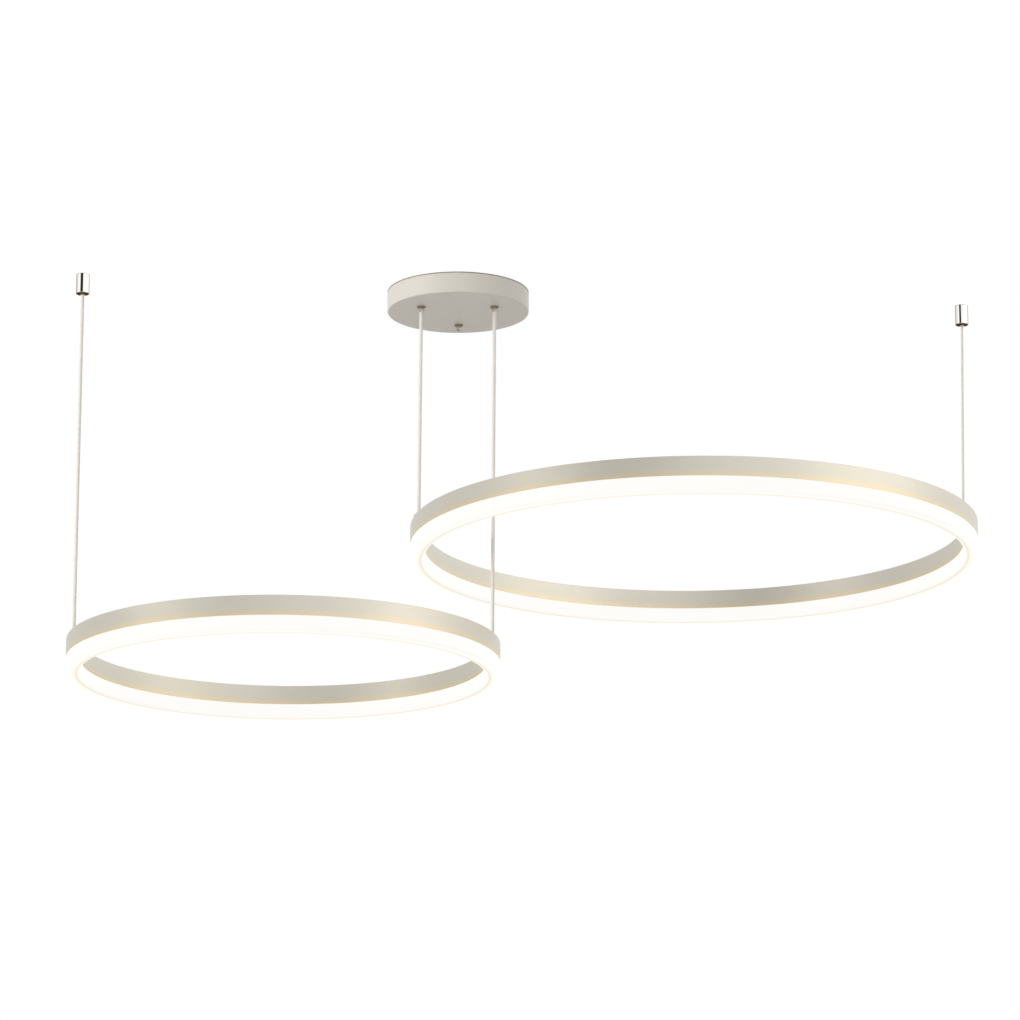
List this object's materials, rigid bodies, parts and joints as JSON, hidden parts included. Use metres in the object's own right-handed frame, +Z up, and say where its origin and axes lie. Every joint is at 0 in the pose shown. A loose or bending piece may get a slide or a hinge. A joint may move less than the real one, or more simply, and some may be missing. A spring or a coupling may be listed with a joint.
{
  "type": "ring chandelier",
  "caption": "Pendant light: lit horizontal rings of different sizes hang at different heights on thin cords from a round canopy and small ceiling anchors.",
  "frame": {"origin": "centre of the canopy on the ceiling plane", "axes": "+Z up into the ceiling, +X towards the large ring's ceiling anchor side, +Y away from the front view of the picture"},
  "size_m": [1.2747, 0.8, 0.575],
  "materials": {
    "champagne_aluminium": "fine satin, anodised champagne",
    "opal": "satin opal, lit from inside",
    "canopy_paint": "fine satin powder coat, warm pale grey",
    "outlet_bronze": "satin, dark taupe",
    "chrome": "polished",
    "nickel_steel": "satin nickel",
    "zinc_steel": "zinc plated",
    "brass": "turned",
    "power_jacket": "smooth pale jacket over two cores and a steel core",
    "anchor_jacket": "smooth white jacket over a steel core",
    "lead_jacket": "smooth",
    "driver_case": "fine moulded texture",
    "terminal_plastic": "moulded",
    "pad_foam": "foam tape",
    "strip_board": "white flexible circuit",
    "chip_phosphor": "phosphor, lit"
  },
  "bodies": {
    "ceiling_unit": {"canopy_cover": "canopy_paint", "canopy_leads": "lead_jacket", "cord_tails": "power_jacket", "cover_screws": "nickel_steel", "earth_screw": "brass", "gripper_nuts": "zinc_steel", "gripper_retainers": "brass", "large_ring_driver": "driver_case", "left_anchor_barrel": "chrome", "left_anchor_base": "zinc_steel", "left_anchor_gripper_spring": "zinc_steel", "left_gripper_body": "outlet_bronze", "left_gripper_spring": "zinc_steel", "mounting_pads": "pad_foam", "mounting_strap": "zinc_steel", "rear_blanking_pin": "power_jacket", "rear_gripper_body": "outlet_bronze", "rear_gripper_spring": "zinc_steel", "right_anchor_barrel": "chrome", "right_anchor_base": "zinc_steel", "right_anchor_gripper_spring": "zinc_steel", "right_gripper_body": "outlet_bronze", "right_gripper_spring": "zinc_steel", "small_ring_driver": "driver_case", "terminal_block": "terminal_plastic", "terminal_screws": "zinc_steel"},
    "large_cords": {"large_power_cord": "power_jacket", "large_anchor_cord": "anchor_jacket"},
    "large_hangers": {"large_cord_balls": "nickel_steel"},
    "large_ring": {"large_channel": "champagne_aluminium", "large_diffuser": "opal", "large_joiner": "zinc_steel", "large_joiner_screws": "zinc_steel", "large_led_strip": "strip_board", "large_led_chips": "chip_phosphor", "large_power_socket": "nickel_steel", "large_anchor_socket": "nickel_steel", "large_socket_caps": "nickel_steel", "large_socket_nuts": "zinc_steel", "large_ring_lead": "lead_jacket"},
    "small_cords": {"small_power_cord": "power_jacket", "small_anchor_cord": "anchor_jacket"},
    "small_hangers": {"small_cord_balls": "nickel_steel"},
    "small_ring": {"small_channel": "champagne_aluminium", "small_diffuser": "opal", "small_joiner": "zinc_steel", "small_joiner_screws": "zinc_steel", "small_led_strip": "strip_board", "small_led_chips": "chip_phosphor", "small_power_socket": "nickel_steel", "small_anchor_socket": "nickel_steel", "small_socket_caps": "nickel_steel", "small_socket_nuts": "zinc_steel", "small_ring_lead": "lead_jacket"},
    "left_release": {"left_plunger": "outlet_bronze"},
    "right_release": {"right_plunger": "outlet_bronze"},
    "rear_release": {"rear_plunger": "outlet_bronze"},
    "left_anchor_release": {"left_anchor_plunger": "chrome"},
    "right_anchor_release": {"right_anchor_plunger": "chrome"}
  },
  "joints": [
    {"name": "large_ring_sway", "type": "hinge", "parent": "ceiling_unit", "child": "large_cords", "pos_m": [-0.05196, -0.03, -0.0378], "axis": [0.9926, 0.1212, 0.0091], "range_deg": [-4, 4]},
    {"name": "large_ring_height", "type": "slide", "parent": "large_cords", "child": "large_hangers", "axis": [0, 0, 1], "range_m": [-0.03, 0.18], "deforming": ["large_power_cord", "large_anchor_cord"]},
    {"name": "large_ring_tilt", "type": "hinge", "parent": "large_hangers", "child": "large_ring", "pos_m": [-0.05396, -0.03, -0.3388], "axis": [0.9925, 0.1219, 0], "range_deg": [-4, 4]},
    {"name": "small_ring_sway", "type": "hinge", "parent": "ceiling_unit", "child": "small_cords", "pos_m": [0.05196, -0.03, -0.0378], "axis": [-0.9954, -0.0954, 0.0122], "range_deg": [-4, 4]},
    {"name": "small_ring_height", "type": "slide", "parent": "small_cords", "child": "small_hangers", "axis": [0, 0, 1], "range_m": [-0.15, 0.04], "deforming": ["small_power_cord", "small_anchor_cord"]},
    {"name": "small_ring_tilt", "type": "hinge", "parent": "small_hangers", "child": "small_ring", "pos_m": [0.04946, -0.03, -0.5218], "axis": [-0.9954, -0.0958, 0], "range_deg": [-4, 4]},
    {"name": "left_plunger_push", "type": "slide", "parent": "ceiling_unit", "child": "left_release", "axis": [0, 0, 1], "range_m": [0, 0.0025], "stiffness_N_per_m": 600, "springref_m": -0.002, "deforming": ["left_gripper_spring"]},
    {"name": "right_plunger_push", "type": "slide", "parent": "ceiling_unit", "child": "right_release", "axis": [0, 0, 1], "range_m": [0, 0.0025], "stiffness_N_per_m": 600, "springref_m": -0.002, "deforming": ["right_gripper_spring"]},
    {"name": "rear_plunger_push", "type": "slide", "parent": "ceiling_unit", "child": "rear_release", "axis": [0, 0, 1], "range_m": [0, 0.0025], "stiffness_N_per_m": 600, "springref_m": -0.002, "deforming": ["rear_gripper_spring"]},
    {"name": "left_anchor_plunger_push", "type": "slide", "parent": "ceiling_unit", "child": "left_anchor_release", "axis": [0, 0, 1], "range_m": [0, 0.0015], "stiffness_N_per_m": 600, "springref_m": -0.002, "deforming": ["left_anchor_gripper_spring"]},
    {"name": "right_anchor_plunger_push", "type": "slide", "parent": "ceiling_unit", "child": "right_anchor_release", "axis": [0, 0, 1], "range_m": [0, 0.0015], "stiffness_N_per_m": 600, "springref_m": -0.002, "deforming": ["right_anchor_gripper_spring"]}
  ]
}
